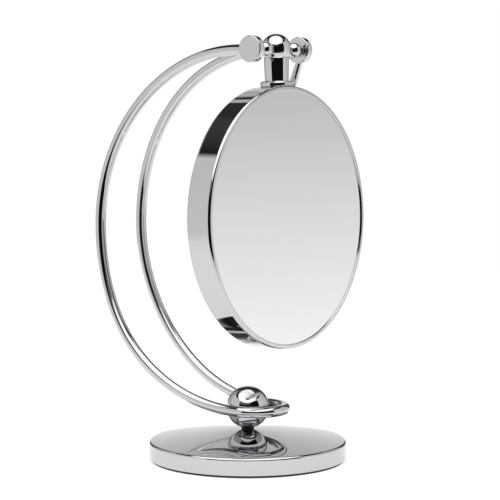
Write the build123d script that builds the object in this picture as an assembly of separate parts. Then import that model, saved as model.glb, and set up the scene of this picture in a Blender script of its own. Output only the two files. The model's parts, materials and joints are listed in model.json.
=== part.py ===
from build123d import *
import os
from math import cos, radians, sin, sqrt

# Countertop mirror: a weighted disc foot, a ball wrapped by one hairpin rod, and a round
# two-sided mirror head that tilts on a cross pivot and swivels on its neck.
# Millimetres. Z is up, the centre of the foot's underside is the origin, and the mirror
# faces -Y. The rod rises behind the head, on the +Y side.

# ---- driving dimensions ----
base_radius = 75.0
base_top = 14.4                     # height of the foot's upper edge, before rounding
base_crown = 9.2                    # rise of the foot's upper face from its edge to its centre
crown_bulge = 0.9                   # how far that face arches above a plain cone, half-way up
pad_thickness = 1.9
shell_wall = 1.4
edge_round = 2.0
plate_thickness = 1.5

ball_radius = 16.2
ball_height = 39.8                  # centre of the ball, and of the rod's bend round it
rod_radius = 4.0
rod_gap_low = 22.2                  # half spacing of the rod's two legs at the ball
rod_gap_mid = 24.4                  # the same, half-way up
rod_gap_top = 17.8                  # the same, at the pivot
arc_y = -4.8                        # centre of the rod's side arc
arc_depth = 131.2                   # how far the arc reaches back
arc_swell = 1.3                     # the arc's lower half bulges out of round by this much
gap_swell = 3.1                     # and the legs spread apart there by this much each
bend_y = -7.5                       # centre of the bend in front of the ball

pivot_y = -26.3
pivot_height = 309.4
rest_tilt = 1.7                     # the head rests leaning back this many degrees

tip_radius = 5.4                    # ball tips on the rod's ends
tip_forward = 3.3                   # the tips' centres lie this far in front of the pivot
stud_radius = 2.0
knob_radius = 9.9
knob_inner = 26.9                   # distance of a knob's inner face from the middle
knob_outer = 32.8

dome_radius = 11.0
dome_lift = 0.8                     # height of the dome's centre above the pivot
neck_radius_top = 9.3
neck_radius_foot = 8.7
neck_foot = 23.0                    # depth of the neck's lower end below the pivot

head_drop = 124.3                   # depth of the head's centre below the pivot
rim_radius = 97.5
rim_wall = 1.5
half_band = 8.2                     # half width of the flat band
half_head = 10.6                    # half thickness of the head over both lips
lip_inner = 93.9
glass_radius = 95.0
magnifier_bend = 900.0              # radius of the concave glass

# ---- clearances ----
slip = 0.1                          # flat faces of different bodies
running = 0.06                      # radial play of a turning pin

os.makedirs("parts", exist_ok=True)


def save(name, *solids):
    pieces = [solid for shape in solids for solid in shape.solids()]
    shape = pieces[0] if len(pieces) == 1 else Compound(children=pieces)
    export_step(shape, f"parts/{name}.step")


def disc(radius, low, high):
    return Pos(0, 0, (low + high) / 2) * Cylinder(radius, high - low)


def ring(outer, inner, low, high):
    return disc(outer, low, high) - disc(inner, low - 1, high + 1)


def along_x(radius, start, end):
    return Pos((start + end) / 2, 0, 0) * Rot(Y=90) * Cylinder(radius, abs(end - start))


def turned(*points):
    """A solid of revolution about Z from (radius, height) points."""
    outline = Polyline(*[(r, 0, z) for r, z in points], close=True)
    return revolve(make_face(outline), Axis.Z)


def at_pivot(shape):
    return Pos(0, pivot_y, pivot_height) * shape


def in_head(shape):
    """From the head's own upright frame, whose origin is the pivot, to its place at rest."""
    return at_pivot(Rot(X=-rest_tilt) * shape)


# ---- the foot ----
weight_top = base_top - shell_wall - 1.0
boss_radius = 18.0
weight_low = pad_thickness + plate_thickness
cavity_radius = base_radius - shell_wall
plate_screw_circle = 52.0
bolt_radius = 3.0
bolt_head_low = weight_low + 1.0
bolt_head_high = bolt_head_low + 4.0


def plate_screw_places():
    return PolarLocations(plate_screw_circle, 3, 30)


def under_crown(radius, low, wall=0, rounding=0):
    """Everything from a level up to a wall's thickness below the foot's upper face, out to a radius."""
    tip = (0, 0, base_top + base_crown - wall)
    middle = (base_radius / 2, 0, base_top + base_crown / 2 + crown_bulge - wall)
    edge = (base_radius, 0, base_top - wall)
    face = ThreePointArc(tip, middle, edge)
    section = make_face(face + Polyline(edge, (base_radius, 0, low), (0, 0, low), tip))
    if rounding:
        rim = section.vertices().sort_by(Axis.X)[-2:].sort_by(Axis.Z)[-1]
        section = fillet(rim, rounding)
    body = revolve(section, Axis.Z)
    return body if radius == base_radius else body & disc(radius, low, 40)


def bolt_hole():
    return disc(bolt_radius + 0.2, 0, 40)


def base_shell():
    body = under_crown(base_radius, pad_thickness, 0, edge_round)
    return body - under_crown(cavity_radius, 0, shell_wall) - bolt_hole()


def base_weight():
    """A cast disc with a boss in its middle that reaches up to the shell, under the ball."""
    body = disc(cavity_radius - 0.3, weight_low, weight_top)
    body += under_crown(boss_radius, weight_low, shell_wall)
    body -= bolt_hole()
    body -= disc(9.0, 0, bolt_head_high + 1.5)
    for place in plate_screw_places():
        body -= place * disc(2.0, 0, weight_low + 6)
    return body


def bottom_plate():
    body = disc(cavity_radius - 0.3, pad_thickness, weight_low)
    for place in plate_screw_places():
        body -= place * plate_screw()
    return body


def plate_screw():
    return turned((0, pad_thickness), (3.9, pad_thickness), (2.0, weight_low), (2.0, weight_low + 5.5),
                  (0, weight_low + 5.5))


def base_pad():
    body = disc(cavity_radius, 0, pad_thickness)
    return chamfer(body.edges().sort_by(Axis.Z)[0], 0.4)


def centre_bolt():
    shank = disc(bolt_radius, bolt_head_high, ball_height - 3.6)
    head = disc(5.0, bolt_head_low, bolt_head_high)
    socket = Pos(0, 0, bolt_head_low + 1.2) * extrude(RegularPolygon(2.5, 6), 2.4, both=True)
    return head + shank - socket


def bolt_washer():
    return ring(7.5, bolt_radius + 0.2, bolt_head_high, bolt_head_high + 1.5)


# ---- the ball and the rod round it ----
seat_radius = 4.8
ball_flat_radius = 3.6
ball_flat = ball_height - sqrt(ball_radius ** 2 - ball_flat_radius ** 2)
cross_pin_radius = 3.0
cross_pin_end = rod_gap_low - 1.5


def whole_ball():
    return Pos(0, 0, ball_height) * Sphere(ball_radius)


def ball_seat():
    """A thin washer, dished to the ball above and to the foot below."""
    blank = ring(seat_radius, bolt_radius + 0.2, base_top, ball_height)
    body = blank - under_crown(base_radius, 0) - whole_ball()
    return body.solids().sort_by(Axis.Z)[0]


def ball():
    body = whole_ball() - disc(20, 0, ball_flat)
    body -= disc(bolt_radius, 0, ball_height - 3.6)
    return body - Pos(0, 0, ball_height) * along_x(cross_pin_radius, -20, 20)


def cross_pin():
    return Pos(0, 0, ball_height) * along_x(cross_pin_radius, -cross_pin_end, cross_pin_end)


def leg_point(degrees, side):
    """A point of the rod's side arc, from -90 at the ball to 90 at the pivot."""
    a = radians(degrees)
    middle = (pivot_height + ball_height) / 2
    rise = (pivot_height - ball_height) / 2
    gap_end = rod_gap_top if degrees > 0 else rod_gap_low
    swell = sin(2 * a) ** 2 if degrees < 0 else 0
    gap = gap_end + (rod_gap_mid - gap_end) * cos(a) ** 2 + gap_swell * swell
    back = (arc_depth + arc_swell * swell) * cos(a)
    up = (rise + arc_swell * swell) * sin(a)
    return (side * gap, arc_y + back, middle + up)


def leg_curve(side):
    """A leg's arc, down on the left and up on the right; both start off backwards."""
    points = [leg_point(side * degrees, side) for degrees in range(-90, 91, 15)]
    return Spline(*points, tangents=[(0, 1, 0), (0, -1, 0)], tangent_scalars=[1, 1])


tip_y = pivot_y - tip_forward
rod_end_y = tip_y + sqrt(tip_radius ** 2 - rod_radius ** 2)
spot_depth = 3.8                    # half width left between the flats round the pivot hole


def pivot_hole():
    return at_pivot(along_x(stud_radius + running, -40, 40))


def spot_faces(side):
    """The flats milled on a rod end round the pivot hole."""
    near = along_x(4.2, side * (rod_gap_top - spot_depth), side * (rod_gap_top - 8))
    far = along_x(4.2, side * (rod_gap_top + spot_depth), side * (rod_gap_top + 8))
    return at_pivot(near + far)


def arm_rod():
    left_top = (-rod_gap_top, rod_end_y, pivot_height)
    right_top = (rod_gap_top, rod_end_y, pivot_height)
    bend_left = (-rod_gap_low, bend_y, ball_height)
    bend_front = (0, bend_y - rod_gap_low, ball_height)
    bend_right = (rod_gap_low, bend_y, ball_height)
    path = Line(left_top, leg_point(90, -1)) + leg_curve(-1)
    path += Line(leg_point(-90, -1), bend_left)
    path += ThreePointArc(bend_left, bend_front, bend_right)
    path += Line(bend_right, leg_point(-90, 1))
    path += leg_curve(1) + Line(leg_point(90, 1), right_top)
    section = Plane(origin=left_top, z_dir=(0, 1, 0)) * Circle(rod_radius)
    body = sweep(section, path=path)
    body -= spot_faces(-1) + spot_faces(1)
    return body - cross_pin() - pivot_hole()


def arm_tip(side):
    body = Rot(X=90) * Sphere(tip_radius)
    body -= Pos(0, rod_end_y - tip_y + 10, 0) * Box(30, 20, 30)
    body = Pos(side * rod_gap_top, tip_y, pivot_height) * body
    return body - spot_faces(side) - pivot_hole()


# ---- the cross pivot ----
dome_flat = 10.0                    # distance of the dome's side flats from the middle
knob_round = 0.8
insert_radius = 3.2
insert_end = 3.5
washer_thickness = 1.0


def inner_spacer(side):
    start = dome_flat + washer_thickness + slip
    end = rod_gap_top - spot_depth
    return at_pivot(along_x(3.6, side * start, side * end) - along_x(stud_radius + running, -40, 40))


def friction_washer(side):
    body = along_x(4.2, side * (dome_flat + slip), side * (dome_flat + slip + washer_thickness))
    return at_pivot(body - along_x(stud_radius + running, -40, 40))


def clamp_sleeve(side):
    start = rod_gap_top + spot_depth
    end = knob_inner - slip - 1.2
    return at_pivot(along_x(3.7, side * start, side * end) - along_x(stud_radius + running, -40, 40))


def spring_washer(side):
    """A conical spring washer between the sleeve and the knob."""
    high = side * (knob_inner - slip)
    low = side * (knob_inner - slip - 1.2)
    body = along_x(4.6, low, high) - along_x(stud_radius + 0.5, -40, 40)
    return at_pivot(body)


def knob(side):
    """A flat disc knob turned in one piece with its threaded stud."""
    face = along_x(knob_radius, side * knob_inner, side * knob_outer)
    edges = face.edges().filter_by(GeomType.CIRCLE)
    face = fillet(edges, knob_round)
    stud = along_x(stud_radius, side * (insert_end + 0.6), side * (knob_inner + 1))
    return face + stud


def stud_insert(side):
    body = along_x(insert_radius, side * insert_end, side * (dome_flat - 0.4))
    return body - along_x(stud_radius + running, -40, 40)


lever_x = (knob_inner + knob_outer) / 2
lever_crank = 22.0                  # angle of the lever from straight down
lever_root_radius = 2.3
lever_tip_radius = 3.1
lever_length = 17.0


def clamp_lever():
    """A tapered lever that leaves the right knob's edge downwards and leans back."""
    root = (lever_x, 0.4, -knob_radius + 1.5)
    cone = Cone(lever_root_radius, lever_tip_radius, lever_length)
    handle = Pos(0, 0, -lever_length / 2) * Rot(X=180) * cone
    handle += Pos(0, 0, -lever_length) * Sphere(lever_tip_radius)
    handle += Sphere(lever_root_radius)
    return Pos(*root) * Rot(X=lever_crank) * handle


# ---- the neck ----
bore_radius = 6.6
bore_top = -9.0
gland_height = 3.0
spindle_radius = 3.0
flange_radius = 5.6
flange_low = -neck_foot + gland_height + 2.0
flange_high = flange_low + 2.0


def neck_housing():
    barrel = turned((0, -neck_foot), (neck_radius_foot, -neck_foot), (neck_radius_top, -6.2),
                    (neck_radius_top - 0.6, -5.2), (0, -5.2))
    body = Pos(0, 0, dome_lift) * Sphere(dome_radius) & Pos(0, 0, 14) * Box(40, 40, 40)
    body += barrel
    for side in (-1, 1):
        body -= along_x(8, side * dome_flat, side * 20)
        body -= along_x(insert_radius, side * insert_end, side * 20)
    return body - disc(bore_radius, -neck_foot - 1, bore_top)


def neck_gland():
    body = ring(bore_radius, spindle_radius + running, -neck_foot, -neck_foot + gland_height)
    for side in (-1, 1):
        body -= Pos(side * 4.8, 0, -neck_foot) * Cylinder(0.8, 3)
    return body


def friction_disc():
    return ring(bore_radius - 0.2, spindle_radius + running, -neck_foot + gland_height, flange_low - slip)


def swivel_spindle():
    shank = disc(spindle_radius, -neck_foot - 13.5, flange_high + 3.5)
    return shank + disc(flange_radius, flange_low, flange_high)


def swivel_spring():
    wire = 0.6
    coil = 4.5
    low = flange_high + slip + wire
    height = bore_top - wire - low
    path = Pos(0, 0, low) * Helix(pitch=height / 2.5, height=height, radius=coil)
    section = Plane(origin=path @ 0, z_dir=path % 0) * Circle(wire)
    return sweep(section, path=path)


# ---- the head ----
saddle_radius = 12.3
saddle_round = 2.1
saddle_top = -neck_foot - slip
rim_top = -head_drop + rim_radius
block_half = 8.0
block_low = rim_top - rim_wall - 7.0
screw_offset = 6.0


def head_ring(outer, inner, front, back):
    """A ring about the head's axis, between two places along Y."""
    body = Rot(X=90) * ring(outer, inner, -back, -front)
    return Pos(0, 0, -head_drop) * body


def head_disc(radius, front, back):
    return Pos(0, 0, -head_drop) * Rot(X=90) * disc(radius, -back, -front)


def spindle_hole():
    return disc(spindle_radius, -neck_foot - 20, -neck_foot + 1)


def saddle_screw_axes():
    return [Pos(side * screw_offset, 0, 0) for side in (-1, 1)]


def saddle():
    """The flange under the neck, shaped to the curve of the band."""
    low = rim_top - 3.4
    body = disc(saddle_radius, low, saddle_top)
    body &= Pos(0, 0, (low + saddle_top) / 2) * Box(40, 2 * half_head + 1.0, 20)
    body = fillet(body.edges().sort_by(Axis.Z)[-4:], saddle_round)
    body -= head_disc(rim_radius, -20, 20)
    outer = [edge for edge in body.edges() if edge.center().Z < rim_top + 0.2 and edge.length > 12]
    body = fillet(outer, saddle_round / 3)
    body -= spindle_hole()
    for place in saddle_screw_axes():
        body -= place * disc(1.5, rim_top - 4, rim_top + 1.8)
    return body


def saddle_screw():
    shank = disc(1.5, block_low, rim_top + 1.8)
    return shank + disc(2.7, block_low - 1.8, block_low)


def spindle_block():
    """The steel block inside the band that the spindle screws into."""
    body = Pos(0, 0, (block_low + rim_top) / 2) * Box(2 * block_half, 9.0, rim_top - block_low)
    body &= head_disc(rim_radius - rim_wall, -20, 20)
    body -= spindle_hole()
    for place in saddle_screw_axes():
        body -= place * disc(1.5, block_low - 1, rim_top)
    return body


def rim_band():
    body = head_ring(rim_radius, rim_radius - rim_wall, -half_band, half_band)
    body -= spindle_hole()
    for place in saddle_screw_axes():
        body -= place * disc(1.5, rim_top - 4, rim_top + 4)
    return body


def bezel(side):
    """A lipped ring: a rounded front edge over the glass and a skirt inside the band."""
    lip = 2.1
    recess = half_head - 1.0
    skirt = rim_radius - rim_wall
    bulge = lip * (1 - cos(radians(45)))
    corner = ThreePointArc((rim_radius, 0, half_head - lip),
                           (rim_radius - bulge, 0, half_head - bulge),
                           (rim_radius - lip, 0, half_head))
    nose = ThreePointArc((lip_inner + 0.5, 0, half_head), (lip_inner + 0.15, 0, half_head - 0.15),
                         (lip_inner, 0, half_head - 0.5))
    outline = Polyline((lip_inner, 0, half_head - 0.5), (lip_inner, 0, recess), (skirt - 0.7, 0, recess),
                       (skirt - 0.7, 0, half_band - 3.2), (skirt, 0, half_band - 3.2),
                       (skirt, 0, half_band), (rim_radius, 0, half_band), (rim_radius, 0, half_head - lip))
    top = Line((rim_radius - lip, 0, half_head), (lip_inner + 0.5, 0, half_head))
    body = revolve(make_face(corner + top + nose + outline), Axis.Z)
    return Pos(0, 0, -head_drop) * Rot(X=-side * 90) * body


front_glass_face = -(half_head - 1.1)
plain_thickness = 3.0
magnifier_thickness = 2.5
rear_glass_face = half_head - 1.1
gasket_back = rear_glass_face - magnifier_thickness - 0.5


def front_glass():
    return head_disc(glass_radius, front_glass_face, front_glass_face + plain_thickness)


def front_backing():
    back = front_glass_face + plain_thickness
    return head_disc(glass_radius - 0.6, back, back + 0.5)


def core_panel():
    front = front_glass_face + plain_thickness + 0.5
    return head_disc(88.5, front, front + 1.2)


def magnifier_sag(radius):
    return magnifier_bend - sqrt(magnifier_bend ** 2 - radius ** 2)


def rear_glass():
    """The magnifying glass: dished inwards, with its edge behind the rear lip."""
    centre = rear_glass_face - magnifier_sag(glass_radius)
    shell = Sphere(magnifier_bend + magnifier_thickness) - Sphere(magnifier_bend)
    shell = Pos(0, centre + magnifier_bend, -head_drop) * shell
    return shell & head_disc(glass_radius, -20, 20)


def core_ring():
    """The plastic ring that keeps the two glasses apart, cut away round the block."""
    front = front_glass_face + plain_thickness + 0.5 + 1.0
    body = head_ring(glass_radius, 89.0, front, gasket_back - 1.0)
    return body - Pos(0, 0, rim_top - 6) * Box(2 * block_half + 2.0, 30, 14)


def front_gasket():
    front = front_glass_face + plain_thickness + 0.5
    return head_ring(glass_radius - 0.5, 89.5, front, front + 1.0)


def rear_gasket():
    return head_ring(glass_radius - 0.3, 91.5, gasket_back - 1.0, gasket_back)


def build():
    save("base_pad", base_pad())
    save("base_shell", base_shell())
    save("base_weight", base_weight())
    save("bottom_plate", bottom_plate())
    save("plate_screws", *[place * plate_screw() for place in plate_screw_places()])
    save("centre_bolt", centre_bolt())
    save("bolt_washer", bolt_washer())
    save("ball_seat", ball_seat())
    save("ball", ball())
    save("cross_pin", cross_pin())
    save("arm_rod", arm_rod())
    save("friction_washers", friction_washer(-1), friction_washer(1))
    save("spring_washers", spring_washer(-1), spring_washer(1))
    for side, name in ((-1, "left"), (1, "right")):
        save(f"arm_tip_{name}", arm_tip(side))
        save(f"inner_spacer_{name}", inner_spacer(side))
        save(f"clamp_sleeve_{name}", clamp_sleeve(side))
        save(f"stud_insert_{name}", in_head(stud_insert(side)))
        knob_body = knob(side)
        if side > 0:
            knob_body -= clamp_lever()
        save(f"knob_{name}", in_head(knob_body))
    save("clamp_lever", in_head(clamp_lever()))
    save("neck_housing", in_head(neck_housing()))
    save("neck_gland", in_head(neck_gland()))
    save("friction_disc", in_head(friction_disc()))
    save("swivel_spring", in_head(swivel_spring()))
    save("swivel_spindle", in_head(swivel_spindle()))
    save("saddle", in_head(saddle()))
    save("saddle_screws", *[in_head(place * saddle_screw()) for place in saddle_screw_axes()])
    save("spindle_block", in_head(spindle_block()))
    save("rim_band", in_head(rim_band()))
    save("front_bezel", in_head(bezel(-1)))
    save("rear_bezel", in_head(bezel(1)))
    save("front_glass", in_head(front_glass()))
    save("front_backing", in_head(front_backing()))
    save("rear_glass", in_head(rear_glass()))
    save("core_panel", in_head(core_panel()))
    save("core_ring", in_head(core_ring()))
    save("front_gasket", in_head(front_gasket()))
    save("rear_gasket", in_head(rear_gasket()))


build()
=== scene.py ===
"""The countertop mirror's looks: chrome, mirror glass and rubber on the CAD frame, in a white studio."""

import json
import math

import bmesh
import bpy
from mathutils import Matrix, Vector


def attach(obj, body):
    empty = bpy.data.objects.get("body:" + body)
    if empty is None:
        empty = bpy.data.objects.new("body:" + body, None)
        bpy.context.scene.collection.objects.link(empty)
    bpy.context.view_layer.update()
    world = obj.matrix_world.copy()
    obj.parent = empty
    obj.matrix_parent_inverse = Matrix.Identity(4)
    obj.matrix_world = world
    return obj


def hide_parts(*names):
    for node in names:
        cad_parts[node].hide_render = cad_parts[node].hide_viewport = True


# ---------------------------------------------------------------- camera, in metres, degrees and mm of film
CAMERA_AZIMUTH = -52.84
CAMERA_ELEVATION = 4.84
CAMERA_DISTANCE = 1.3932
AIM = Vector((0.0010, -0.00135, 0.1594))
LENS = 132.9
SENSOR = 36.0
NEAREST = 0.05

# ---------------------------------------------------------------- floor and overhead light, metres and watts
FLOOR_SIDES = 96
FLOOR_REACH = 0.95
FLOOR_FADE = 0.35
FLOOR_SHIFT = 0.50             # how far its middle lies behind the mirror
FLOOR_FRONT = 0.46             # how far it comes towards the camera
FLOOR_FRONT_SOFT = 0.02
FLOOR_SOLID_SHARE = 0.75       # the share of its reach that doesn't fade at all
FLOOR_FADE_END = 0.99          # where it is clear, as a share of reach and fade together
FLOOR_PAINT = 0.42             # the share of light that it scatters back
FLOOR_GLOW = 0.72              # how brightly it shines by itself

FILL_ELEVATION = 88
FILL_DISTANCE = 2.2
FILL_SIZE = 2.4
FILL_POWER = 8

# ---------------------------------------------------------------- what the chrome mirrors, in degrees
WHITE = 1.0
ZENITH = 90
PAST_ZENITH = 120

# Each zone of the studio, seen from the mirror: name, azimuth from and to, elevation from and to, how soft
# its edges are, and how bright it is at its lower and at its upper edge. Azimuth 0 is the camera's side, and
# positive is towards the picture's right. A range that ends beyond 180 is straight behind and reaches as far
# forward on either side as its start says. A later zone covers an earlier one.
ZONES = (
    ("back_wall", 164, 540, -12, 34, 3, 1.05, 0.55),
    ("right_wall", 64, 92, -12, 44, 2, 1.00, 0.90),
    ("right_wall_middle", 90, 114, -12, 44, 3, 0.86, 0.80),
    ("right_wall_far", 112, 140, -12, 44, 3, 0.86, 0.60),
    ("right_sweep", 99, 115, -6, 2.2, 0.3, 1.20, 0.67),
    ("right_shade", 99, 115, 2.2, 6, 0.3, 0.67, 0.72),
    ("left_wall", -126, -52, -12, 39, 4, 0.92, 0.84),
    ("left_wall_far", -140, -118, -12, 39, 4, 0.86, 0.55),
    ("left_flag", -167, -139, -9, 39, 3, 0.22, 0.08),
    ("right_flag", 139, 168, -8, 60, 3, 0.10, 0.05),
    ("ceiling", -180, 180, 40, 90, 2, 0.01, 0.26),
    ("ceiling_behind", 140, 540, 33, 90, 2, 0.04, 0.03),
    ("camera_side", -50, 66, -38, 36, 2, 0.008, 0.008),
    ("softbox_glow", -50, 15, 16, 33, 3, 0.02, 0.30),
)
SOFTBOX_AZIMUTH = -6
SOFTBOX_ELEVATION = 73.0
SOFTBOX_RADIUS = 42.5
SOFTBOX_EDGE = 2.0
SOFTBOX_BRIGHTNESS = 1.8


# ---------------------------------------------------------------- looks, with sizes in metres
NOISE_ROUGHNESS = 0.55

CHROME_COLOUR = (0.56, 0.565, 0.575)
CHROME_ROUGHNESS = 0.012
HAZE_SIZE = 0.03
HAZE_RANGE = (0.35, 0.75)
HAZE_GAIN = 1.5
SMEAR_SIZE = 0.006
SMEAR_DETAIL = 2.0
SMEAR_STRETCH = 0.3            # below 1 draws the smears out upright
SMEAR_ROUGHNESS = 0.008

GLASS_COLOUR = (0.74, 0.745, 0.745)
GLASS_ROUGHNESS = (0.004, 0.02)
VEIL_SIZE = 0.05
VEIL_RANGE = (0.4, 0.9)

GRAIN_DETAIL = 4.0
PATCH_SIZE = 12                # a patch of colour, in grains
PATCH_LIGHTER = 1.25
PATCH_LIFT = 0.01
PATCH_DARKER = 0.8

# name, colour, size of the grain, depth of the grain, metallic, lowest and highest roughness
GRAINY_LOOKS = (
    ("mirror_backing", (0.28, 0.29, 0.30), 0.0006, 0.00002, 0.0, (0.45, 0.6)),
    ("cast_weight", (0.16, 0.16, 0.17), 0.0015, 0.0002, 0.6, (0.5, 0.75)),
    ("bare_steel", (0.50, 0.50, 0.51), 0.0005, 0.00001, 1.0, (0.22, 0.38)),
    ("brass_insert", (0.75, 0.55, 0.26), 0.0005, 0.00001, 1.0, (0.2, 0.35)),
    ("foot_rubber", (0.022, 0.022, 0.022), 0.0008, 0.00008, 0.0, (0.65, 0.85)),
    ("foam_strip", (0.05, 0.05, 0.05), 0.0008, 0.0002, 0.0, (0.8, 0.95)),
    ("white_nylon", (0.80, 0.79, 0.76), 0.0006, 0.00001, 0.0, (0.35, 0.5)),
    ("grey_plastic", (0.10, 0.10, 0.105), 0.0006, 0.00003, 0.0, (0.4, 0.55)),
)


def direction_to(azimuth, elevation):
    """The unit vector from the mirror towards something at these angles, in degrees."""
    a, e = math.radians(azimuth), math.radians(elevation)
    return Vector((math.sin(a) * math.cos(e), -math.cos(a) * math.cos(e), math.sin(e)))


# ---------------------------------------------------------------- shader nodes
def new_tree(owner):
    """An empty node tree on a material or a world."""
    owner.use_nodes = True
    owner.node_tree.nodes.clear()
    return owner.node_tree


def put(tree, kind, inputs=(), **settings):
    """Adds one node, sets it up, and links or fills its inputs, given as (name or place, value or socket)."""
    node = tree.nodes.new(kind)
    for name, value in settings.items():
        setattr(node, name, value)
    for key, value in inputs:
        if isinstance(value, bpy.types.NodeSocket):
            tree.links.new(value, node.inputs[key])
        else:
            node.inputs[key].default_value = value
    return node


def maths(tree, operation, *values):
    """One arithmetic step."""
    return put(tree, "ShaderNodeMath", enumerate(values), operation=operation).outputs[0]


def dot(tree, vector, constant):
    """The dot product of a vector socket and a constant vector."""
    node = put(tree, "ShaderNodeVectorMath", ((0, vector), (1, constant)), operation="DOT_PRODUCT")
    return node.outputs["Value"]


def step_up(tree, value, low, high, interpolation="SMOOTHSTEP"):
    """0 below low, 1 above high, and smooth or straight between them."""
    inputs = ((0, value), (1, low), (2, high))
    return put(tree, "ShaderNodeMapRange", inputs, interpolation_type=interpolation).outputs[0]


def between(tree, value, low, high, soft):
    """1 from low to high, 0 outside, with edges that are twice soft wide."""
    rise = step_up(tree, value, low - soft, low + soft)
    fall = step_up(tree, value, high - soft, high + soft)
    return maths(tree, "MULTIPLY", rise, maths(tree, "SUBTRACT", 1.0, fall))


def mix(tree, factor, low, high):
    """low where factor is 0, high where it is 1."""
    inputs = (("Factor", factor), ("A", low), ("B", high))
    return put(tree, "ShaderNodeMix", inputs, data_type="FLOAT").outputs["Result"]


# ---------------------------------------------------------------- studio
def build_world(camera_side, picture_right):
    """The walls, ceiling and softbox that the chrome mirrors. The backdrop itself is plain white."""
    world = bpy.data.worlds.new("studio")
    bpy.context.scene.world = world
    tree = new_tree(world)
    direction = put(tree, "ShaderNodeTexCoord").outputs["Generated"]
    height = put(tree, "ShaderNodeSeparateXYZ", ((0, direction),)).outputs["Z"]
    elevation = maths(tree, "DEGREES", maths(tree, "ARCSINE", height))
    across = dot(tree, direction, picture_right)
    towards = dot(tree, direction, camera_side)
    azimuth = maths(tree, "DEGREES", maths(tree, "ARCTAN2", across, towards))
    light = WHITE
    for _, left, right, low, high, soft, bright_low, bright_high in ZONES:
        inside = between(tree, elevation, low, high if high < ZENITH else PAST_ZENITH, soft)
        if right > 180:
            behind = between(tree, maths(tree, "ABSOLUTE", azimuth), left, right, soft)
            inside = maths(tree, "MULTIPLY", inside, behind)
        elif right - left < 360:
            inside = maths(tree, "MULTIPLY", inside, between(tree, azimuth, left, right, soft))
        rise = step_up(tree, elevation, low, high, "LINEAR")
        light = mix(tree, inside, light, mix(tree, rise, bright_low, bright_high))
    softbox = direction_to(CAMERA_AZIMUTH + SOFTBOX_AZIMUTH, SOFTBOX_ELEVATION)
    angle = maths(tree, "DEGREES", maths(tree, "ARCCOSINE", dot(tree, direction, softbox)))
    outside = step_up(tree, angle, SOFTBOX_RADIUS - SOFTBOX_EDGE, SOFTBOX_RADIUS + SOFTBOX_EDGE)
    light = mix(tree, outside, SOFTBOX_BRIGHTNESS, light)
    seen = put(tree, "ShaderNodeLightPath").outputs["Is Camera Ray"]
    light = mix(tree, seen, light, WHITE)
    background = put(tree, "ShaderNodeBackground", (("Color", (1, 1, 1, 1)), ("Strength", light)))
    put(tree, "ShaderNodeOutputWorld", (("Surface", background.outputs[0]),))


def build_floor(camera_side):
    """A pale round floor that fades out into the backdrop."""
    reach = FLOOR_REACH + FLOOR_FADE
    vertices = [(0, 0, 0)]
    for i in range(FLOOR_SIDES):
        a = 2 * math.pi * i / FLOOR_SIDES
        vertices.append((math.cos(a), math.sin(a), 0))
    faces = [(0, i + 1, (i + 1) % FLOOR_SIDES + 1) for i in range(FLOOR_SIDES)]
    mesh = bpy.data.meshes.new("floor")
    mesh.from_pydata(vertices, [], faces)
    floor = bpy.data.objects.new("floor", mesh)
    bpy.context.collection.objects.link(floor)
    floor.scale = (reach, reach, 1)
    floor.location = -FLOOR_SHIFT * camera_side
    material = bpy.data.materials.new("pale_floor")
    tree = new_tree(material)
    place = put(tree, "ShaderNodeTexCoord").outputs["Object"]
    radius = put(tree, "ShaderNodeVectorMath", ((0, place),), operation="LENGTH").outputs["Value"]
    ahead = maths(tree, "MULTIPLY_ADD", dot(tree, place, camera_side), reach, -FLOOR_SHIFT)
    front = step_up(tree, ahead, FLOOR_FRONT - FLOOR_FRONT_SOFT, FLOOR_FRONT + FLOOR_FRONT_SOFT)
    far = step_up(tree, radius, FLOOR_REACH / reach * FLOOR_SOLID_SHARE, FLOOR_FADE_END)
    fade = maths(tree, "MAXIMUM", far, front)
    paint = put(tree, "ShaderNodeBsdfDiffuse", (("Color", (FLOOR_PAINT, FLOOR_PAINT, FLOOR_PAINT, 1)),))
    glow = put(tree, "ShaderNodeEmission", (("Color", (1, 1, 1, 1)), ("Strength", FLOOR_GLOW)))
    lit = put(tree, "ShaderNodeAddShader", ((0, paint.outputs[0]), (1, glow.outputs[0])))
    clear = put(tree, "ShaderNodeBsdfTransparent")
    blend = put(tree, "ShaderNodeMixShader", ((0, fade), (1, lit.outputs[0]), (2, clear.outputs[0])))
    put(tree, "ShaderNodeOutputMaterial", (("Surface", blend.outputs[0]),))
    mesh.materials.append(material)


def aimed(name, data, elevation, distance):
    """A camera or a light on the camera's side of the mirror, turned towards the mirror's middle."""
    item = bpy.data.objects.new(name, data)
    bpy.context.collection.objects.link(item)
    towards = direction_to(CAMERA_AZIMUTH, elevation)
    item.location = AIM + distance * towards
    item.rotation_euler = towards.to_track_quat("Z", "Y").to_euler()
    return item


def build_fill():
    """A square light overhead, for the floor and the dull pieces. Neither the camera nor the chrome sees it."""
    lamp = bpy.data.lights.new("top_fill", "AREA")
    lamp.size = FILL_SIZE
    lamp.energy = FILL_POWER
    light = aimed("top_fill", lamp, FILL_ELEVATION, FILL_DISTANCE)
    light.visible_camera = False
    light.visible_glossy = False


def build_camera():
    """The camera, at the viewing angle that the object is shown from."""
    camera = aimed("camera", bpy.data.cameras.new("camera"), CAMERA_ELEVATION, CAMERA_DISTANCE)
    camera.data.lens = LENS
    camera.data.sensor_width = SENSOR
    camera.data.clip_start = NEAREST
    bpy.context.scene.camera = camera


def build_studio():
    """The world, the floor and the overhead light, with colours shown as they are."""
    camera_side = direction_to(CAMERA_AZIMUTH, 0)
    picture_right = Vector((-camera_side.y, camera_side.x, 0))
    build_world(camera_side, picture_right)
    build_floor(camera_side)
    build_fill()
    bpy.context.scene.view_settings.view_transform = "Standard"


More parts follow.
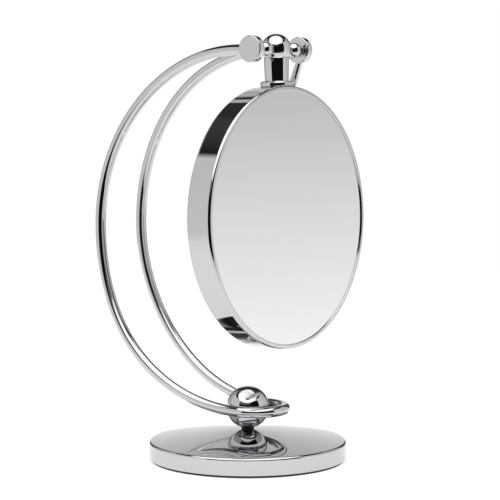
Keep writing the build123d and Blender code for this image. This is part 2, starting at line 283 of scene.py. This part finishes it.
# ---------------------------------------------------------------- materials
def surface(name, base_color, metallic):
    """A material with one Principled shader; returns it, its tree and the shader."""
    material = bpy.data.materials.new(name)
    tree = new_tree(material)
    inputs = (("Base Color", (*base_color, 1)), ("Metallic", metallic))
    shader = put(tree, "ShaderNodeBsdfPrincipled", inputs)
    put(tree, "ShaderNodeOutputMaterial", (("Surface", shader.outputs[0]),))
    return material, tree, shader


def noise(tree, size, detail=3.0, stretch=(1, 1, 1)):
    """Cloudy noise from 0 to 1, with features about size metres wide and longer where stretch is below 1."""
    place = put(tree, "ShaderNodeTexCoord").outputs["Object"]
    scaled = put(tree, "ShaderNodeMapping", (("Vector", place), ("Scale", stretch))).outputs[0]
    inputs = (("Vector", scaled), ("Scale", 1 / size), ("Detail", detail), ("Roughness", NOISE_ROUGHNESS))
    return put(tree, "ShaderNodeTexNoise", inputs).outputs[0]


def add_bump(tree, shader, height, depth):
    """Bump of depth metres from a height of 0 to 1."""
    inputs = (("Height", height), ("Distance", depth), ("Strength", 1.0))
    bump = put(tree, "ShaderNodeBump", inputs)
    tree.links.new(bump.outputs[0], shader.inputs["Normal"])


def chrome(name):
    """Polished chrome plate, with a faint haze in patches and soft upright smears."""
    material, tree, shader = surface(name, CHROME_COLOUR, 1.0)
    haze = step_up(tree, noise(tree, HAZE_SIZE), *HAZE_RANGE)
    smears = noise(tree, SMEAR_SIZE, SMEAR_DETAIL, (1, 1, SMEAR_STRETCH))
    rough = mix(tree, haze, CHROME_ROUGHNESS, CHROME_ROUGHNESS * HAZE_GAIN)
    rough = maths(tree, "ADD", rough, maths(tree, "MULTIPLY", smears, SMEAR_ROUGHNESS))
    tree.links.new(rough, shader.inputs["Roughness"])
    return material


def mirror_glass(name):
    """Silvered glass, clean but for the faintest veil."""
    material, tree, shader = surface(name, GLASS_COLOUR, 1.0)
    veil = step_up(tree, noise(tree, VEIL_SIZE), *VEIL_RANGE)
    tree.links.new(mix(tree, veil, *GLASS_ROUGHNESS), shader.inputs["Roughness"])
    return material


def grainy(name, base_color, size, depth, metallic, rough):
    """An uneven surface with a fine grain and a colour that varies a little."""
    material, tree, shader = surface(name, base_color, metallic)
    grain = noise(tree, size, GRAIN_DETAIL)
    patches = noise(tree, size * PATCH_SIZE)
    light = tuple(min(1.0, c * PATCH_LIGHTER + PATCH_LIFT) for c in base_color)
    dark = tuple(c * PATCH_DARKER for c in base_color)
    tint = put(tree, "ShaderNodeMix", (("Factor", patches),), data_type="RGBA")
    tint.inputs["A"].default_value = (*dark, 1)
    tint.inputs["B"].default_value = (*light, 1)
    tree.links.new(tint.outputs["Result"], shader.inputs["Base Color"])
    tree.links.new(mix(tree, grain, *rough), shader.inputs["Roughness"])
    add_bump(tree, shader, grain, depth)
    return material


def build_materials():
    """One material for each of the record's slots."""
    materials = {"polished_chrome": chrome("polished_chrome")}
    for name in ("plain_mirror", "magnifying_mirror"):
        materials[name] = mirror_glass(name)
    for name, *look in GRAINY_LOOKS:
        materials[name] = grainy(name, *look)
    return materials


def dress_frame(frame, materials):
    """Gives every CAD node the material of its slot."""
    for entry in frame["record"]["subparts"]:
        node = frame["nodes"][entry["node"]]
        node.data.materials.clear()
        node.data.materials.append(materials[entry["material_slot"]])


# ---------------------------------------------------------------- pieces drawn finer than the CAD mesh, in mm
MM = 0.001                     # in metres
PIVOT_Y = -26.3
PIVOT_HEIGHT = 309.4
REST_TILT = 1.7
HEAD_DROP = 124.3
BALL_HEIGHT = 39.8

ROD_RADIUS = 4.0
ROD_GAP_LOW = 22.2
ROD_GAP_MID = 24.4
ROD_GAP_TOP = 17.8
ARC_Y = -4.8
ARC_DEPTH = 131.2
ARC_SWELL = 1.3
GAP_SWELL = 3.1
BEND_Y = -7.5
ROD_END_Y = -25.97
ROD_STRAIGHT = (-24.0, -22.3, -22.1, -18, -13, -8)   # further rings along the straight end
ROD_FLAT = 3.8
FLAT_RINGS = 3                 # how many rings at the end have the clamp's flats
HOLE_RADIUS = 2.06

RIM_RADIUS = 97.5
HALF_BAND = 8.2
HALF_HEAD = 10.6
LIP_INNER = 93.9
LIP_ROUND = 2.1
LIP_THICKNESS = 1.0
NOSE_ROUND = 0.5
SKIRT_RADIUS = 96.0
SKIRT_WALL = 0.7
SKIRT_DEPTH = 3.2

FOOT_RADIUS = 75.0
FOOT_LOW = 1.9
FOOT_WALL = 1.4
FOOT_ROUND = 2.0
FOOT_HOLE = 3.2
FOOT_CROWN = ((0, 23.6), (37.5, 19.9), (75.0, 14.4))   # radius and height of three points of its top

# How fine the meshes are: the number of steps on each curve, and how many degrees make an edge sharp.
ROD_SIDES = 96
LEG_STEPS = 240
BEND_STEPS = 45
TURN_STEPS = 288
LIP_STEPS = 16
NOSE_STEPS = 6
CROWN_STEPS = 28
EDGE_STEPS = 14
CAVITY_STEPS = 20
SHARP_ANGLE = 35


def arc(centre, radius, start, end, steps):
    """Points on a circle, from one angle to another in degrees."""
    angles = [math.radians(start + (end - start) * i / steps) for i in range(steps + 1)]
    return [(centre[0] + radius * math.cos(a), centre[1] + radius * math.sin(a)) for a in angles]


def skin(rings, joined):
    """Faces between each ring of points and the next; joined also closes the last ring to the first."""
    count = len(rings[0])
    faces = []
    for i in range(len(rings) if joined else len(rings) - 1):
        a, b = i * count, (i + 1) % len(rings) * count
        faces += [(a + k, a + (k + 1) % count, b + (k + 1) % count, b + k) for k in range(count)]
    return [point for ring in rings for point in ring], faces


def fine_piece(name, vertices, faces, place, body, cad_node):
    """A smooth chrome mesh in the place of one CAD node."""
    mesh = bpy.data.meshes.new(name)
    mesh.from_pydata(vertices, [], faces)
    mesh.transform(Matrix.Scale(MM, 4) @ place)
    work = bmesh.new()
    work.from_mesh(mesh)
    bmesh.ops.recalc_face_normals(work, faces=work.faces)
    work.to_mesh(mesh)
    work.free()
    mesh.shade_smooth()
    mesh.set_sharp_from_angle(angle=math.radians(SHARP_ANGLE))
    piece = bpy.data.objects.new(name, mesh)
    bpy.context.collection.objects.link(piece)
    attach(piece, body)
    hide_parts(cad_node)
    return piece


def turned(name, outline, place, body, cad_node):
    """A closed outline of (radius, height) points, turned about its own Z axis and then placed."""
    turns = [2 * math.pi * i / TURN_STEPS for i in range(TURN_STEPS)]
    rings = [[(r * math.cos(a), r * math.sin(a), height) for a in turns] for r, height in outline]
    return fine_piece(name, *skin(rings, True), place, body, cad_node)


def leg_point(degrees):
    """A point of the left leg's arc, from -90 at the ball to 90 at the pivot."""
    a = math.radians(degrees)
    middle, rise = (PIVOT_HEIGHT + BALL_HEIGHT) / 2, (PIVOT_HEIGHT - BALL_HEIGHT) / 2
    end = ROD_GAP_TOP if degrees > 0 else ROD_GAP_LOW
    swell = math.sin(2 * a) ** 2 if degrees < 0 else 0
    gap = end + (ROD_GAP_MID - end) * math.cos(a) ** 2 + GAP_SWELL * swell
    back = (ARC_DEPTH + ARC_SWELL * swell) * math.cos(a)
    up = (rise + ARC_SWELL * swell) * math.sin(a)
    return Vector((-gap, ARC_Y + back, middle + up))


def half_rod_line():
    """The rod's centre line from its left end down and round to the front of the ball."""
    line = [Vector((-ROD_GAP_TOP, y, PIVOT_HEIGHT)) for y in (ROD_END_Y, *ROD_STRAIGHT)]
    line += [leg_point(90 - 180 * i / LEG_STEPS) for i in range(LEG_STEPS + 1)]
    bend = arc((0, BEND_Y), ROD_GAP_LOW, 180, 270, BEND_STEPS)
    return line + [Vector((x, y, BALL_HEIGHT)) for x, y in bend]


def half_rod_rings():
    """Rings of points round that line. The first ones get the flats, and the end gets the hole's groove."""
    line = half_rod_line()
    last = len(line) - 1
    side = Vector((1, 0, 0))
    rings = []
    for i, point in enumerate(line):
        along = (line[min(i + 1, last)] - line[max(i - 1, 0)]).normalized()
        if i == last:                                # so that it lies in the mirror plane
            along = Vector((1, 0, 0))
        side = (side - side.dot(along) * along).normalized()
        up = side.cross(along)
        ring = []
        for k in range(ROD_SIDES):
            a = 2 * math.pi * k / ROD_SIDES
            ring.append(point + ROD_RADIUS * (math.cos(a) * side + math.sin(a) * up))
        rings.append(ring)
    for ring, point in zip(rings, line[:FLAT_RINGS]):
        for corner in ring:
            corner.x = point.x + max(-ROD_FLAT, min(ROD_FLAT, corner.x - point.x))
    for corner in rings[0]:
        groove = HOLE_RADIUS ** 2 - (corner.z - PIVOT_HEIGHT) ** 2
        if groove > 0:
            corner.y = max(corner.y, PIVOT_Y + math.sqrt(groove))
    return rings


def build_rod():
    """The hairpin rod: one half and its mirror image, joined in front of the ball."""
    half = half_rod_rings()
    mirrored = [[Vector((-p.x, p.y, p.z)) for p in ring] for ring in reversed(half[:-1])]
    vertices, faces = skin(half + mirrored, False)
    quarter, half_turn = ROD_SIDES // 4, ROD_SIDES // 2
    for start in (0, len(vertices) - ROD_SIDES):     # each end is closed with level strips
        for k in range(-quarter, quarter):
            strip = (k, k + 1, half_turn - k - 1, half_turn - k)
            faces.append(tuple(dict.fromkeys(start + corner % ROD_SIDES for corner in strip)))
    return fine_piece("rod_surface", vertices, faces, Matrix.Identity(4), "stand", "arm_rod")


def build_lip(name, cad_node, side):
    """The rounded lip round one glass, with its skirt inside the band. side is -1 in front and 1 behind."""
    outline = arc((RIM_RADIUS - LIP_ROUND, HALF_HEAD - LIP_ROUND), LIP_ROUND, 0, 90, LIP_STEPS)
    outline += arc((LIP_INNER + NOSE_ROUND, HALF_HEAD - NOSE_ROUND), NOSE_ROUND, 90, 180, NOSE_STEPS)
    under = HALF_HEAD - LIP_THICKNESS
    skirt_inner = SKIRT_RADIUS - SKIRT_WALL
    skirt_end = HALF_BAND - SKIRT_DEPTH
    outline += [(LIP_INNER, under), (skirt_inner, under), (skirt_inner, skirt_end), (SKIRT_RADIUS, skirt_end),
                (SKIRT_RADIUS, HALF_BAND), (RIM_RADIUS, HALF_BAND)]
    place = Matrix.Translation((0, PIVOT_Y, PIVOT_HEIGHT)) @ Matrix.Rotation(math.radians(-REST_TILT), 4, "X")
    place = place @ Matrix.Translation((0, 0, -HEAD_DROP)) @ Matrix.Rotation(math.radians(-side * 90), 4, "X")
    return turned(name, outline, place, "head", cad_node)


def circle_through(a, b, c):
    """The centre and radius of the circle through three points."""
    (ax, ay), (bx, by), (cx, cy) = a, b, c
    aa, bb, cc = ax * ax + ay * ay, bx * bx + by * by, cx * cx + cy * cy
    d = 2 * (ax * (by - cy) + bx * (cy - ay) + cx * (ay - by))
    x = (aa * (by - cy) + bb * (cy - ay) + cc * (ay - by)) / d
    y = (aa * (cx - bx) + bb * (ax - cx) + cc * (bx - ax)) / d
    return (x, y), math.hypot(ax - x, ay - y)


def build_foot():
    """The foot's thin shell: a crowned top, a rounded edge and an upright side, open below."""
    (x, y), bend = circle_through(*FOOT_CROWN)
    over_hole = math.degrees(math.acos((FOOT_HOLE - x) / bend))
    corner_x = FOOT_RADIUS - FOOT_ROUND - x
    corner_y = math.sqrt((bend - FOOT_ROUND) ** 2 - corner_x ** 2)
    over_corner = math.degrees(math.atan2(corner_y, corner_x))
    inner_radius = FOOT_RADIUS - FOOT_WALL
    over_cavity = math.degrees(math.acos((inner_radius - x) / bend))
    outline = arc((x, y), bend, over_hole, over_corner, CROWN_STEPS)
    outline += arc((x + corner_x, y + corner_y), FOOT_ROUND, over_corner, 0, EDGE_STEPS)[1:]
    outline += [(FOOT_RADIUS, FOOT_LOW), (inner_radius, FOOT_LOW)]
    outline += arc((x, y - FOOT_WALL), bend, over_cavity, over_hole, CAVITY_STEPS)
    return turned("foot_surface", outline, Matrix.Identity(4), "stand", "base_shell")


# ---------------------------------------------------------------- the scene
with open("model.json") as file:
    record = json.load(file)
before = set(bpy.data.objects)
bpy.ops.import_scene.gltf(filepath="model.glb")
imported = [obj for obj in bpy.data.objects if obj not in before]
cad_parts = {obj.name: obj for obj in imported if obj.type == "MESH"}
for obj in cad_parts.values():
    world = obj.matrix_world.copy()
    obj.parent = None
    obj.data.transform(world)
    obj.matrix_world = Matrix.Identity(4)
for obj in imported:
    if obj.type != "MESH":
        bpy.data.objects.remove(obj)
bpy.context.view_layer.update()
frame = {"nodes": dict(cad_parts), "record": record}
build_camera()
build_studio()
materials = build_materials()
dress_frame(frame, materials)
fine_pieces = (build_rod(), build_lip("front_lip", "front_bezel", -1), build_lip("rear_lip", "rear_bezel", 1),
               build_foot())
for piece in fine_pieces:
    piece.data.materials.append(materials["polished_chrome"])
